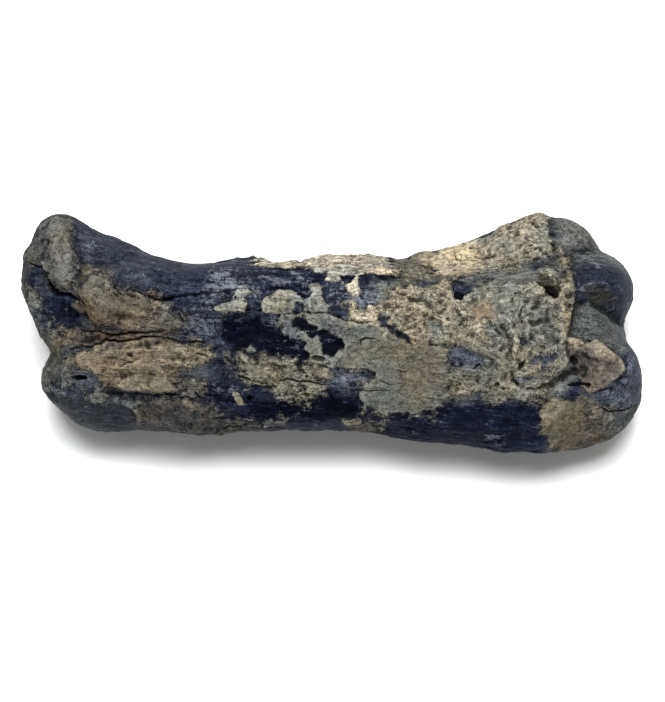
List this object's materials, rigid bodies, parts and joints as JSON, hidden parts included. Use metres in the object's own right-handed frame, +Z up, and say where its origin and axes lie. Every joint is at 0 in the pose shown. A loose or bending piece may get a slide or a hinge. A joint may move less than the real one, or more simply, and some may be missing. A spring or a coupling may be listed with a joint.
{
  "type": "fossil toe bone",
  "caption": "Fossil foot bone of a giant armadillo, lying on its side: broad worn shaft, porous joint plate at one end, keeled knuckle at the other, tan crust on blue-black bone.",
  "frame": {"origin": "middle of the bone's bounding box, on the surface it rests on", "axes": "+X along the bone from the ankle end to the knuckle end, +Y across it away from the broad face's near edge, +Z up"},
  "size_m": [0.0644, 0.0264, 0.021],
  "materials": {
    "fossil_bone": "matte"
  },
  "bodies": {
    "root": {"toe_bone": "fossil_bone"}
  },
  "joints": []
}
